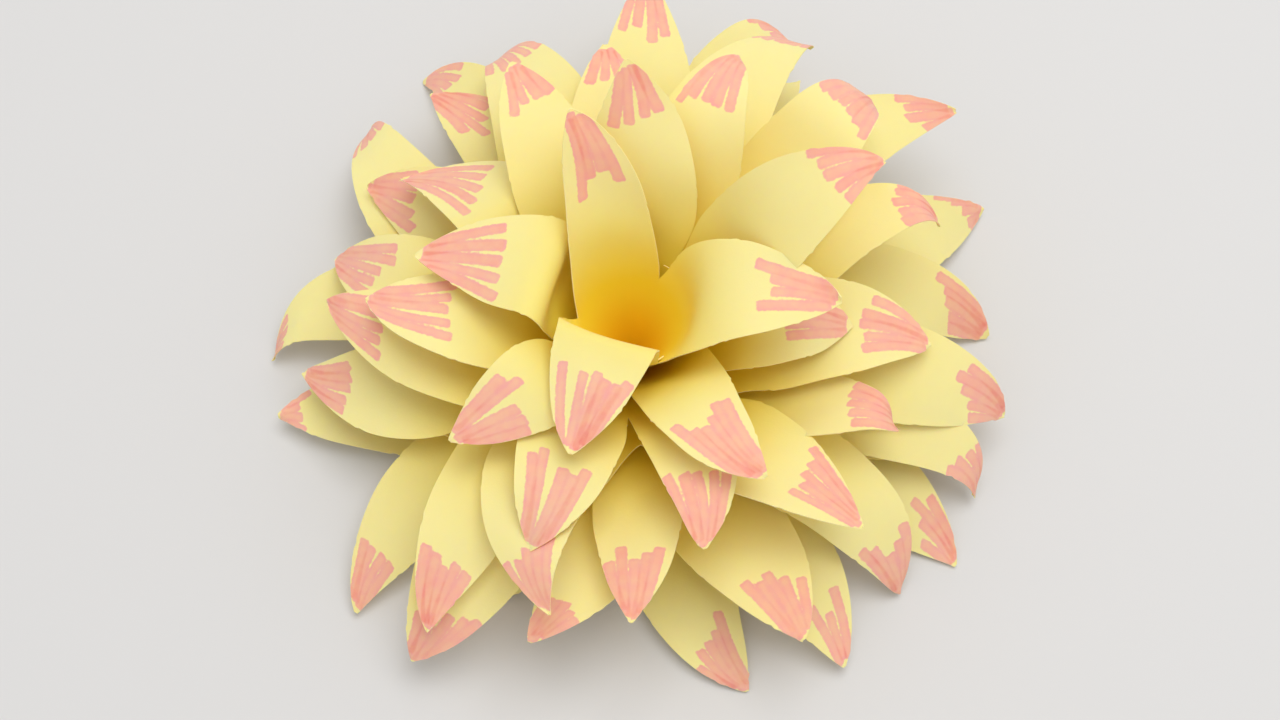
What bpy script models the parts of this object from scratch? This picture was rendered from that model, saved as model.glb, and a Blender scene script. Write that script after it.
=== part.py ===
"""Paper flower: star-shaped sheets, each cut into petals, rolled into a cone, and nested.

Every sheet starts as a flat star: a disc cut by slits into petals. A wedge is taken out of it,
the rest is rolled round until its two cut ends lap, and the ends are glued one over the other.
The more paper is left, the flatter the cone. The petals are then curled outwards and down, and
the cones stand one inside the next, glued at their points. Metres, +Z up, flower on its base.
"""
from collections import namedtuple
from math import acos, cos, pi, radians, sin, tan

import bmesh
import bpy
import numpy as np

MM = 0.001

# The paper
PAPER = 0.2 * MM           # thickness of a sheet
CLEARANCE = 0.3 * MM       # air between two layers of paper that rest on each other

# The cut, the same on every sheet
SLIT = 28.0 * MM           # from the middle of the sheet to the inner end of each slit
BREADTH = 21.0 * MM        # width of a petal past its slit, the same on every sheet
NECK_END = 0.3             # how far along the petal it has come to that width
TAPER = 3.0                # power of the petal's taper: higher keeps it broad for longer
ROUNDING = 0.9             # power that rounds the taper off: 1 is a sharp point, 0.5 an oval end
TIP = 0.3 * MM             # half the width of the blunt end that the scissors leave on a tip
CUPPING = 4.0              # bend across a petal's tip, per metre
SWAY = 0.7                 # power of a petal's lean along it: 1 is even, lower leans from the slit
TWIST = 1.4                # power of a petal's roll along it
LIFT_END = 0.15            # share of a folding petal over which it gains its lift

# The stack
BASE_FLAT = 9.0 * MM       # radius of the lowest sheet's flat middle, which the flower stands on
BASE_RISE = radians(8.5)   # slope of the lowest sheet outside its flat middle
POINT = 1.5 * MM           # radius of the small hole at the point of the lowest cone
POINT_STEP = 0.2 * MM      # growth of that hole from each cone to the one inside it

# The mesh
ALONG = 7                  # faces from a petal's slit to its tip
FOLD_ALONG = 12            # the same on a petal that folds
ACROSS = 4                 # faces across a petal
CURL_STEPS = 64            # steps in which a petal's curl is added up

# lean: degrees that the tip points aside; curl: degrees that it turns down; length: millimetres
# from slit to tip; sweep: degrees that the tip alone points aside; roll: degrees that the tip turns
# about the petal's own line; fold: share of the petal where it bends, if it bends in one place;
# spread: share over which that bend reaches to each side; lift: degrees that the petal stands
# steeper before it; hollow: how much of the cone's own roundness the petal keeps; width: times the
# usual width
Petal = namedtuple("Petal", "lean curl length sweep roll fold spread lift hollow width",
                   defaults=(0, 0, 0, 0.2, 0, 0, 1))
# turn: degrees of the flat star that go once round; start: azimuth of the first petal in degrees;
# bend: power of the curl along the petal, under 1 where it folds over close to the cone
Sheet = namedtuple("Sheet", "name turn start bend petals")

SHEETS = (
    Sheet("sheet_1_heart", 129, 118, 0.8, (
        Petal(-27, 25, 36, sweep=20, hollow=0.9, width=0.92),
        Petal(15, 76, 35, sweep=-2, roll=17, fold=0.34, spread=0.08, lift=35, width=0.98),
        Petal(-4, 60, 40, sweep=-3, roll=13, fold=0.41, spread=0.3, lift=14, width=1.04))),
    Sheet("sheet_2", 180, 91, 0.9, (
        Petal(-15, 13, 41, sweep=15, roll=15, fold=0.39, spread=0.32, lift=9, width=1.1),
        Petal(-5, 68, 39, sweep=9, roll=-13, fold=0.33, spread=0.11, lift=37),
        Petal(-17, 72, 33, sweep=1, roll=-32, fold=0.31, spread=0.31, lift=15, width=0.87),
        Petal(-20, 63, 34, sweep=17, fold=0.42, spread=0.45, width=0.85),
        Petal(7, 59, 50, sweep=-4, roll=33, fold=0.68, spread=0.37, width=1.07))),
    Sheet("sheet_3", 230, 118, 1.0, (
        Petal(-3, 55, 42), Petal(13, 66, 35, sweep=-13, roll=19, width=1.12),
        Petal(20, 74, 35, sweep=-9, roll=14, width=0.98),
        Petal(-6, 57, 34, sweep=-6, roll=-5, fold=0.39, spread=0.4, lift=2, width=0.86),
        Petal(1, 74, 28, fold=0.4, spread=0.4, lift=5),
        Petal(15, 99, 47, sweep=-7, fold=0.77, spread=0.32, lift=4, width=0.9))),
    Sheet("sheet_4", 285, 95, 1.1, (
        Petal(0, 45, 41),
        Petal(-25, 58, 43, sweep=23, roll=20, fold=0.37, spread=0.11, lift=30, width=1.09),
        Petal(-15, 61, 39, sweep=-8, roll=-17, width=1.12),
        Petal(-22, 44, 40, sweep=29, roll=30, width=1.12),
        Petal(20, 52, 39, sweep=-5, roll=-35, width=1.09),
        Petal(15, 68, 38, sweep=-10, roll=-2, width=1.12),
        Petal(-3, 95, 55, sweep=3, roll=8, fold=0.76, spread=0.18, width=1.08))),
    Sheet("sheet_5", 307, 120, 1.1, (
        Petal(-15, 50, 54, sweep=5, roll=-30, width=1.12),
        Petal(-8, 81, 44, sweep=-3, roll=-10, width=1.06),
        Petal(12, 66, 47, sweep=2, roll=-28, width=0.92),
        Petal(-3, 26, 37, sweep=-1, roll=13, width=0.85),
        Petal(15, 45, 32, sweep=1, roll=-14, width=0.93),
        Petal(16, 20, 43, sweep=-11, roll=-3, width=0.9),
        Petal(9, 64, 58, sweep=-16, roll=18, width=1.09))),
    Sheet("sheet_6", 327, 91, 1.2, (
        Petal(-8, 31, 59, sweep=5, roll=4, width=1.08), Petal(9, 40, 40, sweep=2, roll=-38, width=1.12),
        Petal(28, 62, 42, sweep=-26, roll=-14, width=1.12),
        Petal(10, 64, 51, sweep=4, roll=-34, width=1.12),
        Petal(-10, 36, 38, sweep=-8, roll=6, width=1.01),
        Petal(16, 90, 51, sweep=-13, roll=17, width=0.96),
        Petal(-15, 61, 51, sweep=5, roll=40, width=1.12),
        Petal(7, 36, 60, sweep=-16, roll=27, width=1.12))),
    Sheet("sheet_7", 341, 65, 1.2, (
        Petal(12, 34, 59, sweep=-8, roll=28, width=1.1), Petal(10, 23, 46, sweep=6, roll=-11, width=1.12),
        Petal(-8, 54, 57, sweep=-15, roll=19, width=1.12), Petal(-16, 37, 34), Petal(-6, 45, 36),
        Petal(16, 12, 42, sweep=-8, width=1.1), Petal(16, 54, 49, sweep=-8, roll=40, width=0.86),
        Petal(-1, 66, 52, sweep=-12, roll=44, width=1.09))),
    Sheet("sheet_8", 350, 76, 1.2, (
        Petal(-14, 20, 49), Petal(-10, 43, 62, sweep=10, roll=-40, width=1.12),
        Petal(-11, 46, 50, sweep=19, roll=-28, width=1.06),
        Petal(3, 44, 47, sweep=9, roll=-29, width=0.95), Petal(0, 40, 36),
        Petal(13, 41, 47, sweep=-10, roll=-8, width=1.04), Petal(0, 35, 40),
        Petal(-10, 42, 59, sweep=6, roll=43, width=1.12))),
    Sheet("sheet_9_base", 360, 64, 1.2, (
        Petal(0, 27, 40), Petal(0, 27, 40), Petal(0, 27, 40), Petal(-16, 13, 44, sweep=5, roll=-5),
        Petal(-6, 28, 36), Petal(-15, 26, 41, sweep=15, width=1.01),
        Petal(4, 24, 48, sweep=-10, roll=22, width=1.06), Petal(0, 27, 40))),
)

PALE_YELLOW = (0.86, 0.73, 0.33, 1.0)
PAPER_ROUGHNESS = 0.85


def rise(sheet):
    """Slope of a rolled sheet's wall above the level: the less paper goes round, the steeper."""
    return BASE_RISE if is_base(sheet) else acos(sheet.turn / 360)


def is_base(sheet):
    """The lowest sheet is whole, so it has a flat middle and no seam."""
    return sheet.turn == 360


def lap(sheet):
    """Half the distance between the two layers of paper at a sheet's glued seam."""
    return 0.0 if is_base(sheet) else (PAPER + CLEARANCE) / 2


def seats():
    """Radius and height of the inner edge of each sheet's wall, from the base upwards.

    A cone's edge sits on the wall of the cone below, with one clearance and half of each
    cone's own lap between them, measured square to the wall below.
    """
    base = SHEETS[-1]
    found = {base.name: (BASE_FLAT, PAPER / 2)}
    slope, radius, height = 0.0, POINT, PAPER / 2
    below = base
    for step, sheet in enumerate(reversed(SHEETS[:-1])):
        edge = POINT + POINT_STEP * step
        gap = PAPER + CLEARANCE + lap(sheet) + lap(below)
        height = height + (edge - radius) * tan(slope) + gap / cos(slope)
        radius, slope, below = edge, rise(sheet), sheet
        found[sheet.name] = (radius, height)
    return found


def wall_end(sheet, seat):
    """Radius and height where a sheet's wall ends and its petals begin."""
    run = SLIT - (BASE_FLAT if is_base(sheet) else seat[0] / cos(rise(sheet)))
    return seat[0] + run * cos(rise(sheet)), seat[1] + run * sin(rise(sheet))


def smooth(value):
    """Three times the square less twice the cube, between 0 and 1."""
    value = np.clip(value, 0, 1)
    return value * value * (3 - 2 * value)


def slope_at(sheet, petal, share):
    """Slope along a petal's middle; share runs from 0 at the slit to 1 at the tip.

    It starts as the wall's and falls by the petal's curl times share to the power bend. Where the
    petal folds, it gains the lift first, and loses lift and curl about the fold.
    """
    if not petal.fold:
        return rise(sheet) - radians(petal.curl) * share ** sheet.bend
    before = radians(petal.lift) * smooth(share / LIFT_END)
    over = smooth((share - petal.fold + petal.spread) / (2 * petal.spread))
    return rise(sheet) + before - radians(petal.curl + petal.lift) * over


def middle_line(sheet, petal, end, share):
    """Radius and height along a petal's middle: the slope's cosine and sine added up."""
    grid = np.linspace(0, 1, CURL_STEPS + 1)
    slope = slope_at(sheet, petal, (grid[:-1] + grid[1:]) / 2)
    length = petal.length * MM / CURL_STEPS
    out = np.concatenate([[0], np.cumsum(np.cos(slope))]) * length + end[0]
    height = np.concatenate([[0], np.cumsum(np.sin(slope))]) * length + end[1]
    return np.interp(share, grid, out), np.interp(share, grid, height)


def half_width(sheet, petal, end, share):
    """Half the petal's width: its full sector at the slit, then its own, then a blunt point."""
    sector = end[0] * pi / len(sheet.petals)
    past = smooth(share / NECK_END)
    broad = sector * (1 - past) + BREADTH / 2 * petal.width * past
    return (broad - TIP) * (1 - share ** TAPER) ** ROUNDING + TIP


def petal_grid(sheet, number, end):
    """Points of one petal, from its slit to its tip, by rows along and columns across it.

    Across, each row is an arc. At the slit the arc is the wall's own circle; further out it
    flattens, as far as the petal doesn't keep it and straight away where it folds, until only the
    slight cupping of the tip is left. The roll turns the row about the middle line.
    """
    petal = sheet.petals[number]
    share = np.linspace(0, 1, (FOLD_ALONG if petal.fold else ALONG) + 1)
    out, height = middle_line(sheet, petal, end, share)
    slope = slope_at(sheet, petal, share)
    side = half_width(sheet, petal, end, share)[:, None] * np.linspace(-1, 1, ACROSS + 1)
    inward = ((1 - petal.hollow) * (1 - share) ** 2 + petal.hollow) / end[0]
    if petal.fold:
        inward = inward * (1 - smooth(share / (petal.fold + petal.spread)))
    lift = inward * np.sin(slope) + CUPPING * share
    ahead = -inward * np.cos(slope)
    bend = np.hypot(lift, ahead)[:, None]
    along_arc = np.sin(side * bend) / bend
    into_arc = (1 - np.cos(side * bend)) / bend
    up = into_arc * lift[:, None] / bend
    forward = into_arc * ahead[:, None] / bend
    roll = radians(petal.roll) * share[:, None] ** TWIST
    aside = along_arc * np.cos(roll) - up * np.sin(roll)
    up = along_arc * np.sin(roll) + up * np.cos(roll)
    slope = slope[:, None]
    radial = out[:, None] - up * np.sin(slope) + forward * np.cos(slope)
    level = height[:, None] + up * np.cos(slope) + forward * np.sin(slope)
    azimuth = radians(sheet.start + number * 360 / len(sheet.petals))
    azimuth = azimuth + radians(petal.lean) * share[:, None] ** SWAY
    azimuth = azimuth + radians(petal.sweep) * share[:, None] ** 2
    return np.stack([radial * np.cos(azimuth) - aside * np.sin(azimuth),
                     radial * np.sin(azimuth) + aside * np.cos(azimuth), level], axis=-1)


def lapped(sheet, points, turned):
    """Move points square to the wall, outwards at the seam's start and inwards at its end."""
    azimuth = np.arctan2(points[..., 1], points[..., 0])
    shift = lap(sheet) * (2 * turned - 1)
    slope = rise(sheet)
    inward = np.stack([-np.sin(slope) * np.cos(azimuth), -np.sin(slope) * np.sin(azimuth),
                       np.full_like(azimuth, np.cos(slope))], axis=-1)
    return points + inward * shift[..., None]


def add_grid(mesh, points):
    """Add a grid of quads through an array of points, rows by columns."""
    rows, columns = points.shape[:2]
    made = [[mesh.verts.new(point) for point in row] for row in points]
    for row in range(rows - 1):
        for column in range(columns - 1):
            mesh.faces.new((made[row][column], made[row + 1][column],
                            made[row + 1][column + 1], made[row][column + 1]))


def wall_grid(sheet, seat, end):
    """Points of a sheet's wall, from its inner edge to its slits, once round and on to the lap."""
    count = len(sheet.petals) * ACROSS
    columns = np.arange(count + (1 if is_base(sheet) else 2))
    first = radians(sheet.start) - pi / len(sheet.petals)
    azimuth = first + columns * 2 * pi / count
    rings = [seat, end]
    points = np.array([[(ring[0] * cos(a), ring[0] * sin(a), ring[1]) for a in azimuth]
                       for ring in rings])
    turned = np.broadcast_to(columns / count, points.shape[:2])
    return lapped(sheet, points, turned)


def sheet_mesh(sheet, seat):
    """The open surface of one sheet: its wall, its petals and, on the base, its flat middle."""
    end = wall_end(sheet, seat)
    mesh = bmesh.new()
    wall = wall_grid(sheet, seat, end)
    add_grid(mesh, wall)
    petals = len(sheet.petals)
    for number in range(petals):
        turned = (number + np.linspace(0, 1, ACROSS + 1)) / petals
        points = petal_grid(sheet, number, end)
        add_grid(mesh, lapped(sheet, points, np.broadcast_to(turned, points.shape[:2])))
    if is_base(sheet):
        middle = np.stack([np.tile([0, 0, seat[1]], (wall.shape[1], 1)), wall[0]])
        add_grid(mesh, middle)
    bmesh.ops.remove_doubles(mesh, verts=mesh.verts, dist=PAPER / 100)
    bmesh.ops.dissolve_degenerate(mesh, dist=PAPER / 100, edges=mesh.edges)
    bmesh.ops.recalc_face_normals(mesh, faces=mesh.faces)
    return mesh


def paper_material(name):
    """Matt pale yellow paper."""
    material = bpy.data.materials.new(name)
    material.use_nodes = True
    shader = material.node_tree.nodes["Principled BSDF"]
    shader.inputs["Base Color"].default_value = PALE_YELLOW
    shader.inputs["Roughness"].default_value = PAPER_ROUGHNESS
    return material


def add_sheet(sheet, seat, collection):
    """One rolled sheet as a solid: its surface, thickened to both sides."""
    mesh = sheet_mesh(sheet, seat)
    data = bpy.data.meshes.new(sheet.name)
    mesh.to_mesh(data)
    mesh.free()
    data.shade_smooth()
    data.materials.append(paper_material(sheet.name + "_paper"))
    thing = bpy.data.objects.new(sheet.name, data)
    collection.objects.link(thing)
    thicken = thing.modifiers.new("paper", "SOLIDIFY")
    thicken.thickness = PAPER
    thicken.offset = 0


def main():
    """Build the flower, one node for each sheet."""
    for thing in list(bpy.data.objects):
        bpy.data.objects.remove(thing)
    collection = bpy.data.collections.new("paper_flower")
    bpy.context.scene.collection.children.link(collection)
    placed = seats()
    for sheet in SHEETS:
        add_sheet(sheet, placed[sheet.name], collection)


main()
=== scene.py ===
"""Looks of the paper flower: nine rolled sheets with felt-pen strokes on their petals, and a stage."""

from collections import namedtuple
from math import acos, cos, pi, radians, sin, tan

import bpy
import numpy as np
from bpy.props import FloatProperty, FloatVectorProperty, IntProperty, PointerProperty
from mathutils import Matrix, Vector


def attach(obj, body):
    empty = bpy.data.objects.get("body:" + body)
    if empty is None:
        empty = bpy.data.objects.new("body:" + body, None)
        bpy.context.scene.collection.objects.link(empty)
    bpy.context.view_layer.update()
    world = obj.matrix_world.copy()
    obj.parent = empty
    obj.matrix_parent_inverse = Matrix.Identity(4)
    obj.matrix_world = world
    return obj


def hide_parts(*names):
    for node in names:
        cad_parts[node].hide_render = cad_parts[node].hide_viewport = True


bl_info = {
    "name": "Paper flower",
    "version": (1, 0, 0),
    "blender": (4, 5, 0),
    "location": "View3D > Sidebar > Paper flower",
    "description": "Rolled, cut and curled paper sheets with felt-pen strokes on their tips",
    "category": "Object",
}

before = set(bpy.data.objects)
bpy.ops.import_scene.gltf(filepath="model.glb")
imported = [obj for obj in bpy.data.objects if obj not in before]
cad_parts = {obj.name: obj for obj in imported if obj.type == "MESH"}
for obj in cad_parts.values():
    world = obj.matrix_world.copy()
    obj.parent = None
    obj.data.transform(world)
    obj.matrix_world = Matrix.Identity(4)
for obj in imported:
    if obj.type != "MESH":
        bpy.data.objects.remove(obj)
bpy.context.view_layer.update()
MM = 0.001
NO_STROKE = 9.0  # millimetres to the nearest stroke where a sheet has none
LINE_STEPS = 256  # straight steps that a petal's middle line is added up from
LIFT_OVER = 0.15  # share of a folded petal over which it gains its lift
HOOK_FROM = 0.72  # share of a petal from which its hook bends it
CHART_STEP = 0.03  # metres between two petals of a sheet on its flat chart
SHARP_EDGE = radians(50)
MID_FLOWER = (0.00183, 0.0015, 0.00663)
LAMP_WIDTH = 0.6
LAMP_PLACE = (0.12, 0.12, 0.85)
LAMP_AIM = (0, 0, 0.02)

# lean: degrees that the tip points aside; curl: degrees that it turns down; length: millimetres
# from slit to tip; sweep: degrees that the tip alone points aside; roll: degrees that the tip turns
# about the petal's own line; hook: degrees that the last part bends down further; fold: share of
# the petal where it bends, if it bends in one place; spread: share over which that bend reaches
# to each side; lift: degrees that the petal stands steeper before it; hollow: how much of the
# cone's own roundness the petal keeps; width: times the usual width
Petal = namedtuple("Petal", "lean curl length sweep roll hook fold spread lift hollow width",
                   defaults=(0, 0, 0, 0, 0.2, 0, 0, 1))
# turn: degrees of the flat star that go once round; start: azimuth of the first petal in degrees;
# bend: power of the curl along the petal; seam: petals between the first one and the glued seam
Sheet = namedtuple("Sheet", "name slot turn start bend petals seam", defaults=(0,))

SHEETS = (
    Sheet("sheet_1_heart", "paper_heart", 129, 118, 0.8, (
        Petal(-27, 25, 36, sweep=20, hollow=0.9, width=0.92),
        Petal(15, 76, 35, sweep=-2, roll=17, fold=0.34, spread=0.08, lift=35, width=0.98),
        Petal(-4, 60, 40, sweep=-3, roll=13, fold=0.41, spread=0.3, lift=14, width=1.04)),
        seam=2),
    Sheet("sheet_2", "paper", 180, 91, 0.9, (
        Petal(-15, 13, 41, sweep=15, roll=15, fold=0.39, spread=0.32, lift=9, width=1.1),
        Petal(-5, 68, 39, sweep=9, roll=-13, fold=0.33, spread=0.11, lift=37),
        Petal(-17, 72, 33, sweep=1, roll=-32, fold=0.31, spread=0.31, lift=15, width=0.87),
        Petal(-20, 63, 34, sweep=17, fold=0.42, spread=0.45, width=0.85),
        Petal(2, 54, 52, roll=31, hook=30, fold=0.7, spread=0.37, lift=2, width=1.06))),
    Sheet("sheet_3", "paper", 230, 118, 1.0, (
        Petal(-3, 55, 42), Petal(13, 66, 35, sweep=-13, roll=19, width=1.12),
        Petal(20, 74, 35, sweep=-9, roll=14, width=0.98),
        Petal(-6, 57, 34, sweep=-6, roll=-5, fold=0.39, spread=0.4, lift=2, width=0.86),
        Petal(1, 74, 28, fold=0.4, spread=0.4, lift=5),
        Petal(15, 99, 47, sweep=-7, fold=0.77, spread=0.32, lift=4, width=0.9))),
    Sheet("sheet_4", "paper", 285, 95, 1.1, (
        Petal(0, 45, 41),
        Petal(-25, 58, 43, sweep=23, roll=20, fold=0.37, spread=0.11, lift=30, width=1.09),
        Petal(-15, 61, 39, sweep=-8, roll=-17, width=1.12),
        Petal(-22, 44, 40, sweep=29, roll=30, width=1.12),
        Petal(20, 52, 39, sweep=-5, roll=-35, width=1.09),
        Petal(15, 68, 38, sweep=-10, roll=-2, width=1.12),
        Petal(-3, 95, 55, sweep=3, roll=8, fold=0.76, spread=0.18, width=1.08))),
    Sheet("sheet_5", "paper", 307, 120, 1.1, (
        Petal(-22, 68, 58, sweep=16, roll=-16, hook=50, width=1.15),
        Petal(-8, 81, 44, sweep=-3, roll=-10, width=1.06),
        Petal(12, 66, 47, sweep=2, roll=-28, width=0.92),
        Petal(-3, 26, 37, sweep=-1, roll=13, width=0.85),
        Petal(20, 22, 35, sweep=-7, roll=-30, hook=90, width=0.85),
        Petal(22, 14, 47, sweep=-20, hook=90, width=0.85),
        Petal(8, 53, 59, sweep=-16, roll=-4, hook=37, width=1.12))),
    Sheet("sheet_6", "paper", 327, 91, 1.2, (
        Petal(-8, 31, 59, sweep=5, roll=4, width=1.08), Petal(9, 40, 40, sweep=2, roll=-38, width=1.12),
        Petal(28, 62, 42, sweep=-26, roll=-14, width=1.12),
        Petal(20, 68, 51, sweep=-10, roll=-20, width=1.15),
        Petal(-10, 36, 38, sweep=-8, roll=6, width=1.01),
        Petal(16, 90, 51, sweep=-13, roll=17, width=0.96),
        Petal(-15, 61, 54, sweep=5, roll=40, hook=20, width=1.12),
        Petal(7, 36, 60, sweep=-16, roll=27, width=1.12))),
    Sheet("sheet_7", "paper", 341, 65, 1.2, (
        Petal(18, 31, 63, sweep=-17, roll=36, hook=54, width=1.06),
        Petal(10, 23, 46, sweep=6, roll=-11, width=1.12),
        Petal(-13, 41, 57, sweep=-7, hook=38, width=1.12), Petal(-16, 37, 34), Petal(-6, 45, 28),
        Petal(16, 12, 42, sweep=-8, width=1.1), Petal(22, 50, 53, sweep=-18, roll=25, hook=52, width=0.84),
        Petal(-1, 66, 52, sweep=-12, roll=44, width=1.09))),
    Sheet("sheet_8", "paper", 350, 76, 1.2, (
        Petal(-14, 36, 52, width=0.94), Petal(-14, 35, 61, sweep=16, roll=-38, hook=30, width=1.12),
        Petal(-12, 31, 51, sweep=23, roll=-17, hook=54, width=1.07),
        Petal(3, 44, 47, sweep=9, roll=-29, width=0.95), Petal(0, 40, 27),
        Petal(13, 41, 47, sweep=-10, roll=-8, width=1.04), Petal(0, 35, 40),
        Petal(-10, 42, 59, sweep=6, roll=43, width=1.12))),
    Sheet("sheet_9_base", "paper_base", 360, 64, 1.2, (
        Petal(0, 27, 40), Petal(0, 27, 40), Petal(0, 27, 40), Petal(-16, 13, 44, sweep=5, roll=-5),
        Petal(-6, 28, 28), Petal(-15, 26, 41, sweep=15, width=1.01),
        Petal(4, 24, 48, sweep=-10, roll=22, width=1.06), Petal(0, 27, 40))),
)

# The pen strokes of each petal, from its right edge to its left: where the first and the last end,
# in millimetres left of the petal's middle, and then how far each one reaches from the tip, in
# millimetres; 0 leaves one out. A petal that is hidden has None and strokes by chance.
STROKES = {
    "sheet_1_heart": (
        (-4, 4, 15, 13, 14, 17), (-6, 7.5, 16, 0, 15, 16, 15, 15, 16), (-3.5, 5, 15, 13, 13, 15.5)),
    "sheet_2": (
        (-4, 5, 10, 11, 12, 13), (-6, 7.5, 16, 17, 16.5, 17, 18),
        (-5.2, 5.8, 15, 17.5, 0, 13, 12.5, 12), (-5.3, 5.3, 17, 14, 14, 15.5, 17.5, 17),
        (-5, 6, 10, 11, 11.5, 12, 13)),
    "sheet_3": (
        (-5, 3.5, 9.5, 9.5, 10, 11), (-7, 5, 17, 16.5, 16, 16, 16),
        (-6, 5, 17, 18.5, 0, 16, 15.5, 17), (-6.5, 5, 15.5, 14.5, 13.5, 12.5, 12),
        (-4, 4, 14, 14, 13, 13), (-3.5, 7, 15, 15, 15, 15, 16.5)),
    "sheet_4": (
        (-6, 4, 10.5, 10, 9, 9), (-6, 6.5, 15, 16, 18, 20, 21), (-6, 5.5, 13, 13, 12.5, 12, 11.5),
        (-4.5, 6, 7, 8, 10, 11, 14), (-3, 8, 14, 14, 15, 16, 17.5),
        (-4.7, 5.6, 14.5, 14, 14.5, 14, 12), (-6.4, 6, 16, 15, 14, 14, 14.5, 14)),
    "sheet_5": (
        (-6, 6, 13, 14, 15, 15, 14), (-6, 5, 17, 18, 15, 14, 14),
        (-4.5, 4.5, 13.5, 13.5, 12, 13.5, 13.5), (-5.4, 4, 12, 15.5, 12.5, 13.5, 14.5),
        (-4, 6, 10, 12, 13, 13.5, 13), (-4, 5, 11, 11, 11, 10, 9), (-4, 6, 8, 8.5, 9, 10, 10)),
    "sheet_6": (
        (-4, 5, 15, 17, 14, 15), (-5, 6, 9, 10, 10.5, 12, 14), (-5.3, 4.5, 12, 11.5, 11, 10, 8.5),
        (-4, 7, 10, 11, 12, 13, 13.5), (-4, 4, 9, 9, 8.5, 7, 6), (-4.8, 5, 15, 13, 10, 11, 13),
        (-4.5, 5, 10, 11, 13, 15, 13), (-4, 4.5, 8, 10, 9, 9)),
    "sheet_7": (
        (-3, 5, 7, 7, 8, 10), (-6, 4, 9, 9.5, 12, 15, 12), (-4.5, 5, 8.5, 8.5, 8.5, 8.5),
        None, None, (-4.4, 5, 15, 14, 15, 12.5, 11), (-4, 4, 12, 11, 10, 9),
        (-4, 5, 10, 10.5, 11, 12, 13.5)),
    "sheet_8": (
        (0, 1, 0, 0), (-4, 4.5, 9, 10, 10, 9), (-2.5, 3.5, 6, 6, 5), (-4, 3.5, 11, 11, 12, 12),
        None, (-2, 4, 13, 10, 13.5), None, (-4, 7, 4, 5, 7, 9, 13)),
    "sheet_9_base": (
        None, None, None, (-4.5, 4, 6.5, 4.5, 5, 5.5), None, (-4.5, 4.5, 7, 10, 11, 13, 16),
        (-3, 4.5, 8, 10, 13.5, 11), None),
}


def size(label, words, value):
    """A length that the user can change, in metres."""
    return FloatProperty(name=label, description=words, default=value, min=0.0,
                         precision=5, subtype="DISTANCE", unit="LENGTH")


def ratio(label, words, value):
    """A plain number that the user can change."""
    return FloatProperty(name=label, description=words, default=value)


def colour(label, words, value):
    """A colour that the user can change."""
    return FloatVectorProperty(name=label, description=words, default=value, min=0.0, max=1.0,
                               size=3, subtype="COLOR")


class PaperFlowerSheetSettings(bpy.types.PropertyGroup):
    """Sizes of the cut and rolled sheets."""
    paper: size("Paper", "Thickness of a sheet", 0.2 * MM)
    clearance: size("Clearance", "Air between two layers of paper", 0.3 * MM)
    slit: size("Slit", "From the middle of a sheet to the inner end of its slits", 28 * MM)
    base_flat: size("Flat middle", "Radius of the lowest sheet's flat middle", 9 * MM)
    base_rise: FloatProperty(
        name="Base slope", description="Slope of the lowest sheet outside its flat middle",
        default=radians(8.5), subtype="ANGLE", unit="ROTATION")
    point: size("Point", "Radius of the hole at the point of the lowest cone", 1.5 * MM)
    point_step: size("Point step", "Growth of that hole from each cone to the next", 0.2 * MM)
    breadth: size("Petal width", "Width of a petal, cut alike on every sheet", 21 * MM)
    neck_end: ratio("Neck end", "Share of the petal where it has come to that width", 0.3)
    taper: ratio("Taper", "Power of the petal's taper", 3.0)
    rounding: ratio("Rounding", "Power that rounds the taper off", 0.9)
    tip: size("Tip", "Half the width of the blunt end of a tip", 0.3 * MM)
    cupping: ratio("Cupping", "Bend across a petal's tip, per metre", 4.0)
    sway: ratio("Sway", "Power of a petal's lean along it", 0.7)
    cut: size("Cut", "How far the scissors strayed from the line", 0.12 * MM)
    wave: size("Wave", "Height of the slight waves in the paper", 0.25 * MM)
    along: IntProperty(name="Along", description="Faces along a petal", default=84, min=8)
    across: IntProperty(name="Across", description="Faces across a petal", default=40, min=4)
    wall_rows: IntProperty(name="Wall rows", description="Faces along a cone's wall", default=10,
                           min=2)


class PaperFlowerInkSettings(bpy.types.PropertyGroup):
    """Felt-pen strokes, the colours of paper and ink, and the colours of the paper's painted golden glow.
    """
    stroke: size("Stroke", "Width of a felt-pen stroke", 2.1 * MM)
    corner: size("Corner", "Radius of the corners at a stroke's end", 0.5 * MM)
    margin: size("Margin", "From the tip of a petal to where its strokes start", 0.5 * MM)
    gather: ratio("Gather", "Share of their spacing that the strokes keep at the tip", 0.36)
    paper: colour("Paper", "Pale yellow paper", (0.96, 0.805, 0.345))
    # Glow and deep glow are painted light: golden bounce light and shade painted onto the paper near the
    # slits, inside the cones and at their points.
    glow: colour("Glow", "Paper near the slits and inside the cones", (0.97, 0.71, 0.03))
    deep: colour("Deep glow", "Paper at the points of the cones", (0.92, 0.56, 0.0))
    ink: colour("Ink", "One layer of pink ink on the paper", (0.96, 0.43, 0.34))
    rim: colour("Ink rim", "Ink that gathered along a stroke's edge", (0.94, 0.38, 0.35))
    dense: colour("Dense ink", "Ink where strokes cross", (0.88, 0.24, 0.20))
    through: ratio("Light through", "Share of the light that passes through the paper", 0.5)
    scatter: size("Scatter", "How far light spreads inside the paper", 0.6 * MM)


class PaperFlowerStageSettings(bpy.types.PropertyGroup):
    """Floor, light and camera."""
    floor: colour("Floor", "Pale floor", (0.72, 0.71, 0.70))
    floor_size: size("Floor size", "Width of the floor", 3.0)
    sky: ratio("Soft light", "Strength of the light from all round", 0.64)
    key: ratio("Main light", "Power of the broad lamp, in watts", 3.8)
    lens: ratio("Lens", "Focal length of the camera, in millimetres", 47.1)
    distance: size("Distance", "From the camera to the flower", 0.34)
    elevation: FloatProperty(name="Elevation", description="Height of the view over the level",
                             default=radians(67), subtype="ANGLE", unit="ROTATION")


def is_base(sheet):
    """The lowest sheet is whole, so it has a flat middle and no seam."""
    return sheet.turn == 360


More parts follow.
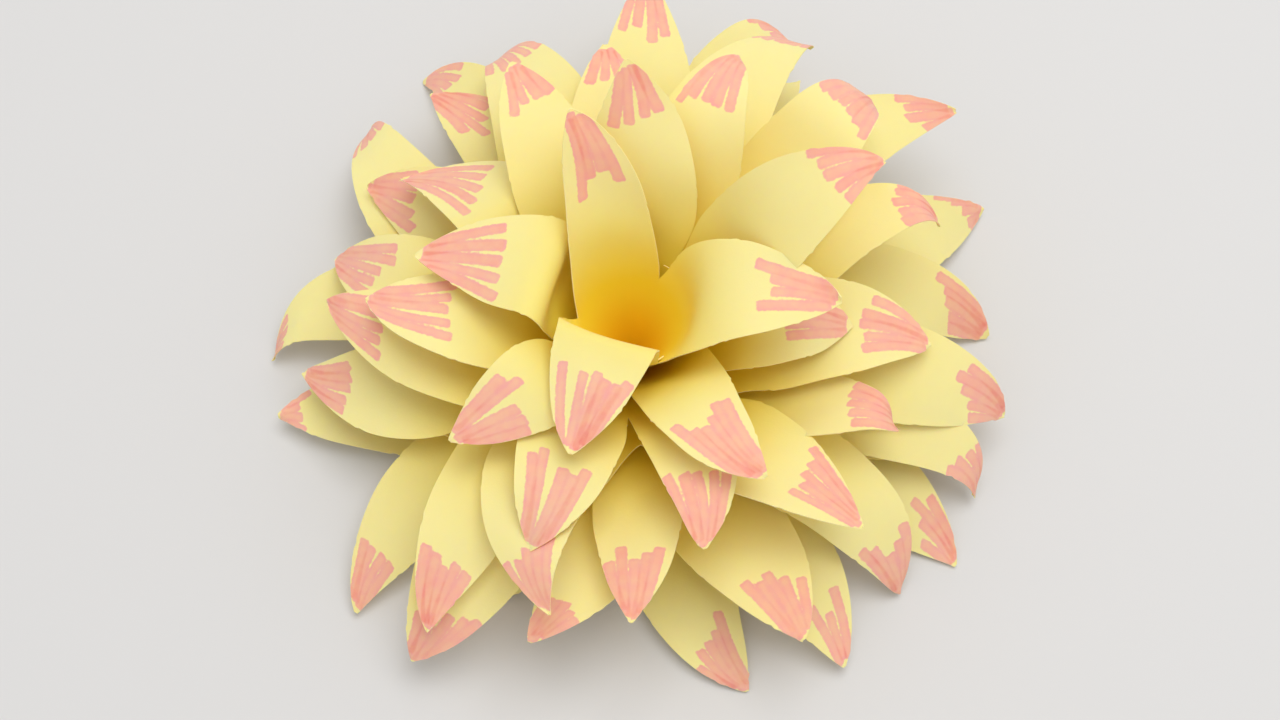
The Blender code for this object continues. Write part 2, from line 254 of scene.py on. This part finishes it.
def rise(sheet, cut):
    """Slope of a rolled sheet's wall: the angle whose cosine is its share of a full turn."""
    return cut.base_rise if is_base(sheet) else acos(sheet.turn / 360)


def lap(sheet, cut):
    """Half the distance between the two layers of paper at a sheet's glued seam."""
    return 0.0 if is_base(sheet) else (cut.paper + cut.clearance) / 2


def seats(cut):
    """Radius and height of the inner edge of each sheet's wall, from the base upwards.

    Each edge is one clearance above the wall below it, measured square to that wall.
    """
    base = SHEETS[-1]
    found = {base.name: (cut.base_flat, cut.paper / 2)}
    slope, radius, height = 0.0, cut.point, cut.paper / 2
    below = base
    for step, sheet in enumerate(reversed(SHEETS[:-1])):
        edge = cut.point + cut.point_step * step
        gap = cut.paper + cut.clearance + lap(sheet, cut) + lap(below, cut)
        height = height + (edge - radius) * tan(slope) + gap / cos(slope)
        radius, slope, below = edge, rise(sheet, cut), sheet
        found[sheet.name] = (radius, height)
    return found


def wall_end(sheet, seat, cut):
    """Radius and height where a sheet's wall ends and its petals begin."""
    slope = rise(sheet, cut)
    run = cut.slit - (cut.base_flat if is_base(sheet) else seat[0] / cos(slope))
    return seat[0] + run * cos(slope), seat[1] + run * sin(slope)


def smooth(value):
    """Three times the square less twice the cube, between 0 and 1."""
    value = np.clip(value, 0, 1)
    return value * value * (3 - 2 * value)


def middle_line(sheet, petal, end, share, cut):
    """Radius, height and slope along a petal's middle.

    The slope starts as the wall's and falls by the curl times share to the power bend, or where
    the petal folds, gains the lift first and loses lift and curl about the fold. It falls by the
    hook over about the last quarter. Radius and height add up its cosine and sine.
    """
    def slope_at(part):
        curled = -radians(petal.curl) * part ** sheet.bend
        if petal.fold:
            before = radians(petal.lift) * smooth(part / LIFT_OVER)
            over = smooth((part - petal.fold + petal.spread) / (2 * petal.spread))
            curled = before - radians(petal.curl + petal.lift) * over
        hooked = radians(petal.hook) * smooth((part - HOOK_FROM) / (1 - HOOK_FROM))
        return rise(sheet, cut) + curled - hooked

    grid = np.linspace(0, 1, LINE_STEPS + 1)
    slope = slope_at((grid[:-1] + grid[1:]) / 2)
    step = petal.length * MM / LINE_STEPS
    out = np.concatenate([[0], np.cumsum(np.cos(slope))]) * step + end[0]
    height = np.concatenate([[0], np.cumsum(np.sin(slope))]) * step + end[1]
    return np.interp(share, grid, out), np.interp(share, grid, height), slope_at(share)


def half_widths(sheet, petal, end, share, cut, chance):
    """Half widths to the right and left: the sector, the petal's own, the blunt point, the cut.

    The width goes from the sector's at the slit to the petal's, times the taper, one less share
    to a power, rounded by another power. The cut adds two slow waves to each side, and in some
    places fine teeth, and fades at the slit and at the tip.
    """
    sector = end[0] * pi / len(sheet.petals)
    past = smooth(share / cut.neck_end)
    broad = sector * (1 - past) + cut.breadth / 2 * petal.width * past
    plain = (broad - cut.tip) * (1 - share ** cut.taper) ** cut.rounding + cut.tip
    sides = []
    for _ in range(2):
        phase = chance.uniform(0, 2 * pi, 4)
        teeth = smooth(np.sin(share * 17 + phase[3]) * 2 - 1)
        stray = (1.4 * np.sin(share * 8 + phase[0]) + 0.6 * np.sin(share * 19 + phase[1])
                 + teeth * (0.9 * np.sin(share * 97 + phase[2]) + 0.6 * np.sin(share * 171)))
        fade = smooth(share / 0.15) * smooth((1 - share) / 0.03)
        sides.append(plain + cut.cut * stray * fade)
    return sides


def petal_surface(sheet, number, end, cut, chance):
    """Points of a petal, and its flat coordinates across it and from its tip.

    Each row is an arc square to the middle line. At the slit it is the wall's own circle; its
    bend fades by the square of one less share, as far as the petal doesn't keep it, and the
    slight cupping of the tip comes in; a fold makes it straight. The roll turns the row about
    the middle line, and three sines of the share and the place across it lift it along its
    normal as waves.
    """
    petal = sheet.petals[number]
    share = 1 - (1 - np.linspace(0, 1, cut.along + 1)) ** 1.5
    out, height, slope = middle_line(sheet, petal, end, share, cut)
    right, left = half_widths(sheet, petal, end, share, cut, chance)
    spot = np.linspace(-1, 1, cut.across + 1)
    side = np.where(spot < 0, right[:, None] * spot, left[:, None] * spot)
    inward = ((1 - petal.hollow) * (1 - share) ** 2 + petal.hollow) / end[0]
    if petal.fold:
        inward = inward * (1 - smooth(share / (petal.fold + petal.spread)))
    cupping = cut.cupping * share
    lift = inward * np.sin(slope) + cupping
    ahead = -inward * np.cos(slope)
    bend = np.hypot(lift, ahead)[:, None]
    along_arc = np.sin(side * bend) / bend
    into_arc = (1 - np.cos(side * bend)) / bend
    roll = (radians(petal.roll) * share ** 1.4)[:, None]
    phase = chance.uniform(0, 2 * pi, 3)
    away = share[:, None]
    wave = cut.wave * smooth(away / 0.4) * (
        np.sin(away * 7 + spot * 1.5 + phase[0]) + 0.6 * np.sin(away * 13 - spot * 2.2 + phase[1])
        + 0.8 * spot * np.abs(spot) * np.sin(away * 10 + phase[2]))
    up = into_arc * lift[:, None] / bend
    e_side = along_arc * np.cos(roll) - up * np.sin(roll)
    e_up = along_arc * np.sin(roll) + up * np.cos(roll) + wave
    e_ahead = into_arc * ahead[:, None] / bend
    tilt = slope[:, None]
    radial = out[:, None] - e_up * np.sin(tilt) + e_ahead * np.cos(tilt)
    level = height[:, None] + e_up * np.cos(tilt) + e_ahead * np.sin(tilt)
    centre = radians(sheet.start + number * 360 / len(sheet.petals))
    azimuth = centre + radians(petal.lean) * away ** cut.sway + radians(petal.sweep) * away ** 2
    points = np.stack([radial * np.cos(azimuth) - e_side * np.sin(azimuth),
                       radial * np.sin(azimuth) + e_side * np.cos(azimuth), level], axis=-1)
    from_tip = np.broadcast_to((1 - away) * petal.length * MM, side.shape)
    return points, side, from_tip


def lapped(sheet, points, turned, cut):
    """Points moved square to the wall, outwards at the seam's start and inwards at its end."""
    azimuth = np.arctan2(points[..., 1], points[..., 0])
    shift = lap(sheet, cut) * (2 * turned - 1)
    slope = rise(sheet, cut)
    inward = np.stack([-np.sin(slope) * np.cos(azimuth), -np.sin(slope) * np.sin(azimuth),
                       np.full_like(azimuth, np.cos(slope))], axis=-1)
    return points + inward * shift[..., None]


def wall_surface(sheet, seat, end, cut):
    """Points of a sheet's wall: a cone from its inner edge to its slits, once round and lapped."""
    count = len(sheet.petals) * cut.across
    columns = np.arange(count + (0 if is_base(sheet) else 1 + cut.across // 10))
    first = radians(sheet.start) + (2 * sheet.seam - 1) * pi / len(sheet.petals)
    azimuth = first + columns * 2 * pi / count
    share = np.linspace(0, 1, cut.wall_rows + 1)[:, None]
    radius = seat[0] + (end[0] - seat[0]) * share
    level = seat[1] + (end[1] - seat[1]) * share + 0 * azimuth
    points = np.stack([radius * np.cos(azimuth), radius * np.sin(azimuth), level], axis=-1)
    turned = np.broadcast_to(columns / count, points.shape[:2])
    return lapped(sheet, points, turned, cut)


def stroke_ends(sheet, number, chance):
    """Inner ends of a petal's strokes: metres left of its middle, and metres from its tip."""
    drawn = STROKES[sheet.name][number] or (-4.5, 4.5, *chance.uniform(8.0, 14.0, 4))
    reach = np.array(drawn[2:], float)
    across = np.linspace(drawn[0], drawn[1], len(reach)) + chance.uniform(-0.25, 0.25, len(reach))
    return np.stack([across, reach + chance.uniform(-0.4, 0.4, len(reach))], axis=-1)[reach > 0] * MM


def stroke_distance(side, from_tip, ends, ink, chance):
    """Distance in millimetres to the nearest stroke's edge, and how much ink lies on a point.

    A stroke is a slightly bowed strip with round corners, as wide as the pen, from near the tip,
    where the gather draws all of them together, to its inner end.
    """
    count = len(ends)
    inset = ink.margin + chance.uniform(-0.5, 0.7, count) * MM + np.abs(ends[:, 0]) * 0.2
    starts = np.stack([ends[:, 0] * ink.gather, inset], axis=-1)
    length = np.linalg.norm(ends - starts, axis=-1)
    ahead = (ends - starts) / length[:, None]
    spot = np.stack([side, from_tip], axis=-1)[..., None, :] - starts
    along = (spot * ahead).sum(-1)
    part = np.clip(along / length, 0, 1)
    across = spot[..., 0] * ahead[:, 1] - spot[..., 1] * ahead[:, 0]
    across = across - np.sin(part * pi) * chance.uniform(-0.3, 0.3, count) * MM
    half = ink.stroke / 2 * chance.uniform(0.88, 1.12, count) * (0.95 + 0.1 * part ** 3)
    past_end = np.abs(along - length / 2) - length / 2 + ink.corner
    past_side = np.abs(across) - half + ink.corner
    gap = np.hypot(np.maximum(past_end, 0), np.maximum(past_side, 0)) - ink.corner
    gap = (gap + np.minimum(np.maximum(past_end, past_side), 0)) / MM
    density = chance.uniform(0.6, 1.5, count)
    return gap.min(-1, initial=NO_STROKE), (np.clip(0.5 - gap / 0.35, 0, 1) * density).sum(-1)


def quads(index):
    """Quads of a grid of vertex numbers, facing up where rows go outwards and columns turn left."""
    return np.stack([index[:-1, :-1], index[1:, :-1], index[1:, 1:], index[:-1, 1:]],
                    axis=-1).reshape(-1, 4)


def sheet_arrays(sheet, seat, cut, ink, chance):
    """Points, faces and values of one sheet: its wall, its petals and the base's flat middle."""
    end = wall_end(sheet, seat, cut)
    wall = wall_surface(sheet, seat, end, cut)
    numbers = np.arange(wall.shape[0] * wall.shape[1]).reshape(wall.shape[:2])
    ring = np.concatenate([numbers, numbers[:, :1]], axis=1) if is_base(sheet) else numbers
    points, faces = [wall.reshape(-1, 3)], [quads(ring)]
    # The depth value runs from 0 at a tip to 1 at the slits and 2 at the wall's inner edge; it places the
    # paper's painted golden glow.
    deep = np.linspace(1, 0, wall.shape[0])[:, None] + np.zeros(wall.shape[:2])
    plain, bare = np.full(deep.size, NO_STROKE), np.zeros(deep.size)
    values = [np.stack([plain, bare, 1 + deep.ravel()], axis=-1)]
    flat = [np.zeros((deep.size, 2))]
    total = deep.size
    for number, petal in enumerate(sheet.petals):
        place, side, from_tip = petal_surface(sheet, number, end, cut, chance)
        past_seam = (number - sheet.seam) % len(sheet.petals)
        turned = (past_seam + np.linspace(0, 1, cut.across + 1)) / len(sheet.petals)
        place = lapped(sheet, place, np.broadcast_to(turned, place.shape[:2]), cut)
        ends = stroke_ends(sheet, number, chance)
        gap, layers = stroke_distance(side, from_tip, ends, ink, chance)
        first = ring[-1, past_seam * cut.across:(past_seam + 1) * cut.across + 1]
        rest = total + np.arange(cut.along * (cut.across + 1)).reshape(cut.along, -1)
        faces.append(quads(np.concatenate([first[None], rest])))
        points.append(place[1:].reshape(-1, 3))
        depth = from_tip / (petal.length * MM)
        values.append(np.stack([gap, layers, depth], axis=-1)[1:].reshape(-1, 3))
        chart = np.stack([side + CHART_STEP * number, from_tip], axis=-1)
        flat.append(chart[1:].reshape(-1, 2))
        total += rest.size
    faces = np.concatenate(faces).tolist()
    if is_base(sheet):
        points.append(np.array([[0, 0, seat[1]]]))
        values.append(np.array([[NO_STROKE, 0, 2.0]]))
        flat.append(np.zeros((1, 2)))
        rim = np.concatenate([np.full((1, wall.shape[1]), total), ring[:1, :-1], ring[:1, 1:]])
        faces += rim.T.tolist()
    return np.concatenate(points), faces, np.concatenate(values), np.concatenate(flat)


class Link:
    """A node's output that can be added, taken away and multiplied in an expression."""

    def __init__(self, material, socket):
        self.material, self.socket = material, socket

    def maths(self, operation, *values):
        return self.material.node("ShaderNodeMath", {"operation": operation}, values)

    def __add__(self, other):
        return self.maths("ADD", self, other)

    def __sub__(self, other):
        return self.maths("SUBTRACT", self, other)

    def __rsub__(self, other):
        return self.maths("SUBTRACT", other, self)

    def __mul__(self, other):
        return self.maths("MULTIPLY", self, other)


class Finish:
    """A material and the one method that adds its nodes."""

    def __init__(self, name):
        self.data = bpy.data.materials.new(name)
        self.data.use_nodes = True
        self.tree = self.data.node_tree
        self.shader = self.tree.nodes["Principled BSDF"]

    def put(self, socket, value):
        """Link a value that varies, or set one that doesn't."""
        if isinstance(value, Link):
            self.tree.links.new(value.socket, socket)
        elif hasattr(value, "__len__") and len(value) == 3 and socket.type == "RGBA":
            socket.default_value = (*value, 1.0)
        else:
            socket.default_value = value

    def node(self, kind, settings, values, output=0):
        """Add a node: its type, its settings, its sockets by number or name, its output."""
        made = self.tree.nodes.new(kind)
        for key, value in settings.items():
            setattr(made, key, value)
        pairs = values.items() if isinstance(values, dict) else enumerate(values)
        for key, value in pairs:
            self.put(made.inputs[key], value)
        return Link(self, made.outputs[output])

    def value(self, name):
        """A number that the mesh carries, by its name."""
        return self.node("ShaderNodeAttribute", {"attribute_name": name}, {}, "Fac")

    def place(self):
        """Object coordinates."""
        return self.node("ShaderNodeTexCoord", {}, {}, "Object")

    def noise(self, scale, detail=2.0, roughness=0.5):
        """Noise about one half on Object coordinates; scale in cells per metre."""
        return self.node("ShaderNodeTexNoise", {}, {
            "Vector": self.place(), "Scale": scale, "Detail": detail, "Roughness": roughness},
            "Fac")

    def mix(self, share, first, second):
        """A colour between two colours."""
        return self.node("ShaderNodeMix", {"data_type": "RGBA"}, {0: share, 6: first, 7: second},
                         2)

    def ramp(self, value, low, high):
        """Smooth step from 0 at low to 1 at high."""
        return self.node("ShaderNodeMapRange", {"interpolation_type": "SMOOTHSTEP"}, {
            "Value": value, "From Min": low, "From Max": high})

    def relief(self, height, depth, strength):
        """A bump that feeds the shader's normal; depth in metres."""
        normal = self.node("ShaderNodeBump", {}, {
            "Strength": strength, "Distance": depth, "Height": height}, "Normal")
        self.put(self.shader.inputs["Normal"], normal)


def paper_with_painted_glow(finish, ink):
    """Pale paper with faint mottling, going over to a painted golden glow towards the slits and the cones:
    painted bounce light and painted shade of the recesses between the sheets.
    """
    mottled = finish.ramp(finish.noise(140.0, 3.0), 0.3, 0.7)
    pale = finish.mix(mottled * 0.3, tuple(ink.paper), tuple(c * 0.96 for c in ink.paper))
    # Painted light: golden near the slits and inside the cones, deeper orange at the cones' points, for
    # light bounced between the sheets and the shade in the recesses.
    near = finish.mix(finish.ramp(finish.value("depth"), 0.3, 1.15), pale, tuple(ink.glow))
    return finish.mix(finish.ramp(finish.value("depth"), 1.1, 1.9), near, tuple(ink.deep))


def let_through(finish, ink):
    """Light that enters the thin paper and leaves it on either side, yellower than it came."""
    finish.put(finish.shader.inputs["Subsurface Weight"], ink.through)
    finish.put(finish.shader.inputs["Subsurface Radius"], (1.0, 0.7, 0.15))
    finish.put(finish.shader.inputs["Subsurface Scale"], ink.scatter)


def fibres(finish):
    """Relief of pressed paper fibres: fine noise over a coarser one."""
    return finish.noise(2600.0, 3.0) * 0.6 + finish.noise(700.0, 2.0) * 0.4


def front_finish(ink):
    """Upper face: paper with felt-pen strokes, with a rim of ink and darker where they cross."""
    finish = Finish("paper_front")
    paper = paper_with_painted_glow(finish, ink)
    ragged = (finish.noise(1300.0, 2.0) - 0.5) * 0.5
    edge = finish.value("pen") + ragged
    inked = finish.ramp(edge, 0.15, -0.1)
    crossed = finish.ramp(finish.value("layers") + (finish.noise(500.0) - 0.5) * 1.2, 0.9, 3.4)
    single = finish.mix(finish.ramp(edge, -0.75, -0.15), tuple(ink.ink), tuple(ink.rim))
    drawn = finish.mix(crossed, single, tuple(ink.dense))
    streaked = finish.ramp(finish.noise(420.0, 2.0), 0.3, 0.75)
    cover = inked * (0.94 - streaked * 0.16)
    finish.put(finish.shader.inputs["Base Color"], finish.mix(cover, paper, drawn))
    finish.put(finish.shader.inputs["Roughness"], 0.82 - inked * 0.12)
    finish.relief(fibres(finish), 0.00005, 0.5)
    let_through(finish, ink)
    return finish.data


def back_finish(ink):
    """Under face: the same paper, with the ink showing faintly through."""
    finish = Finish("paper_back")
    paper = paper_with_painted_glow(finish, ink)
    through = finish.ramp(finish.value("pen"), 0.5, -0.6) * 0.22
    finish.put(finish.shader.inputs["Base Color"], finish.mix(through, paper, tuple(ink.ink)))
    finish.put(finish.shader.inputs["Roughness"], 0.84)
    finish.relief(fibres(finish), 0.00005, 0.5)
    let_through(finish, ink)
    return finish.data


def edge_finish(ink):
    """Cut edge: bare, slightly lighter paper, with a little ink that ran over it."""
    finish = Finish("paper_edge")
    light = tuple(min(1.0, c * 1.02 + 0.03) for c in ink.paper)
    ran = finish.ramp(finish.value("pen"), 0.1, -0.5) * 0.45
    finish.put(finish.shader.inputs["Base Color"], finish.mix(ran, light, tuple(ink.ink)))
    finish.put(finish.shader.inputs["Roughness"], 0.88)
    finish.relief(finish.noise(3200.0, 3.0), 0.00006, 0.6)
    return finish.data


def paper_finishes(ink):
    """The three finishes of a sheet, made once and used by all sheets."""
    makers = {"paper_front": front_finish, "paper_back": back_finish, "paper_edge": edge_finish}
    return [bpy.data.materials.get(name) or maker(ink) for name, maker in makers.items()]


def thickened(thing, thickness):
    """Give a surface its thickness, half to each side, as a mesh with hard edges at the cut."""
    layer = thing.modifiers.new("paper", "SOLIDIFY")
    layer.thickness, layer.offset = thickness, 0
    layer.material_offset, layer.material_offset_rim = 1, 2
    graph = bpy.context.evaluated_depsgraph_get()
    solid = bpy.data.meshes.new_from_object(thing.evaluated_get(graph), depsgraph=graph)
    thing.modifiers.clear()
    old, thing.data = thing.data, solid
    bpy.data.meshes.remove(old)
    solid.shade_smooth()
    solid.set_sharp_from_angle(angle=SHARP_EDGE)


def add_sheet(sheet, context):
    """One rolled sheet in place of its plain node."""
    cut, ink = context.scene.paper_flower_sheets, context.scene.paper_flower_ink
    chance = np.random.default_rng(SHEETS.index(sheet) + 11)
    points, faces, values, flat = sheet_arrays(sheet, seats(cut)[sheet.name], cut, ink, chance)
    data = bpy.data.meshes.new(sheet.name + "_paper")
    data.from_pydata(points, [], faces)
    for column, name in enumerate(("pen", "layers", "depth")):
        layer = data.attributes.new(name, "FLOAT", "POINT")
        layer.data.foreach_set("value", values[:, column].astype(np.float32))
    corner = np.zeros(len(data.loops), np.int32)
    data.loops.foreach_get("vertex_index", corner)
    chart = data.uv_layers.new(name="flat")
    chart.data.foreach_set("uv", (flat[corner] * 4 + 0.5).astype(np.float32).ravel())
    for material in paper_finishes(ink):
        data.materials.append(material)
    thing = bpy.data.objects.new(sheet.name + "_paper", data)
    context.scene.collection.objects.link(thing)
    thickened(thing, cut.paper)
    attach(thing, "root")
    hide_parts(sheet.name)


class PAPERFLOWER_OT_heart(bpy.types.Operator):
    """Make the innermost sheet, rolled to a narrow funnel"""
    bl_idname = "paper_flower.heart"
    bl_label = "Heart"

    def execute(self, context):
        add_sheet(SHEETS[0], context)
        return {"FINISHED"}


class PAPERFLOWER_OT_sheets(bpy.types.Operator):
    """Make the rolled sheets between the heart and the base"""
    bl_idname = "paper_flower.sheets"
    bl_label = "Rolled sheets"

    def execute(self, context):
        for sheet in SHEETS[1:-1]:
            add_sheet(sheet, context)
        return {"FINISHED"}


class PAPERFLOWER_OT_base(bpy.types.Operator):
    """Make the lowest sheet, which is whole and which the flower stands on"""
    bl_idname = "paper_flower.base"
    bl_label = "Base sheet"

    def execute(self, context):
        add_sheet(SHEETS[-1], context)
        return {"FINISHED"}


def add_floor(stage):
    """A plain pale floor, flat and square, at the height that the flower stands on."""
    half = stage.floor_size / 2
    data = bpy.data.meshes.new("floor")
    data.from_pydata([(-half, -half, 0), (half, -half, 0), (half, half, 0), (-half, half, 0)],
                     [], [(0, 1, 2, 3)])
    finish = Finish("floor")
    grain = finish.noise(60.0, 4.0)
    finish.put(finish.shader.inputs["Base Color"],
               finish.mix(grain * 0.06, tuple(stage.floor), tuple(c * 0.9 for c in stage.floor)))
    finish.put(finish.shader.inputs["Roughness"], 0.9)
    data.materials.append(finish.data)
    floor = bpy.data.objects.new("floor", data)
    bpy.context.scene.collection.objects.link(floor)


def add_lamp(name, watts, width, place, aim):
    """A square lamp that faces a point."""
    data = bpy.data.lights.new(name, "AREA")
    data.energy, data.size = watts, width
    lamp = bpy.data.objects.new(name, data)
    turn = (Vector(aim) - Vector(place)).to_track_quat("-Z", "Y").to_matrix().to_4x4()
    lamp.matrix_world = Matrix.Translation(place) @ turn
    bpy.context.scene.collection.objects.link(lamp)


def add_sky(stage):
    """The same soft white light from all round."""
    world = bpy.data.worlds.new("soft_light")
    world.use_nodes = True
    sky = world.node_tree.nodes["Background"]
    sky.inputs["Color"].default_value = (1.0, 1.0, 1.0, 1.0)
    sky.inputs["Strength"].default_value = stage.sky
    bpy.context.scene.world = world


def add_camera(stage):
    """A camera that looks down at the flower by the elevation."""
    data = bpy.data.cameras.new("camera")
    data.sensor_width, data.lens = 36.0, stage.lens
    data.clip_start, data.clip_end = 0.01, 20.0
    camera = bpy.data.objects.new("camera", data)
    ahead = Vector((0, cos(stage.elevation), -sin(stage.elevation)))
    place = Vector(MID_FLOWER) - ahead * stage.distance
    camera.matrix_world = Matrix.Translation(place) @ ahead.to_track_quat(
        "-Z", "Y").to_matrix().to_4x4()
    bpy.context.scene.collection.objects.link(camera)
    bpy.context.scene.camera = camera


class PAPERFLOWER_OT_stage(bpy.types.Operator):
    """Make the floor, the light and the camera"""
    bl_idname = "paper_flower.stage"
    bl_label = "Stage"

    def execute(self, context):
        stage = context.scene.paper_flower_stage
        add_floor(stage)
        add_lamp("main_light", stage.key, LAMP_WIDTH, LAMP_PLACE, LAMP_AIM)
        add_sky(stage)
        add_camera(stage)
        context.scene.view_settings.view_transform = "Standard"
        return {"FINISHED"}


class PAPERFLOWER_PT_panel(bpy.types.Panel):
    """The flower's makers and settings"""
    bl_label = "Paper flower"
    bl_idname = "PAPERFLOWER_PT_panel"
    bl_space_type = "VIEW_3D"
    bl_region_type = "UI"
    bl_category = "Paper flower"

    def draw(self, context):
        for operator in OPERATORS:
            self.layout.operator(operator.bl_idname)
        for name, group in GROUPS.items():
            settings = getattr(context.scene, name)
            for key in group.__annotations__:
                self.layout.prop(settings, key)


GROUPS = {
    "paper_flower_sheets": PaperFlowerSheetSettings,
    "paper_flower_ink": PaperFlowerInkSettings,
    "paper_flower_stage": PaperFlowerStageSettings,
}
OPERATORS = (PAPERFLOWER_OT_heart, PAPERFLOWER_OT_sheets, PAPERFLOWER_OT_base,
             PAPERFLOWER_OT_stage)


def register():
    """Register the classes and hang the settings on the scene."""
    for kind in (*GROUPS.values(), *OPERATORS, PAPERFLOWER_PT_panel):
        bpy.utils.register_class(kind)
    for name, group in GROUPS.items():
        setattr(bpy.types.Scene, name, PointerProperty(type=group))


def unregister():
    """Take the settings off the scene and unregister the classes."""
    for name in GROUPS:
        delattr(bpy.types.Scene, name)
    for kind in (PAPERFLOWER_PT_panel, *OPERATORS, *GROUPS.values()):
        bpy.utils.unregister_class(kind)


def main():
    """Make the flower and its stage."""
    register()
    bpy.ops.paper_flower.heart()
    bpy.ops.paper_flower.sheets()
    bpy.ops.paper_flower.base()
    bpy.ops.paper_flower.stage()


if __name__ == "__main__":
    main()
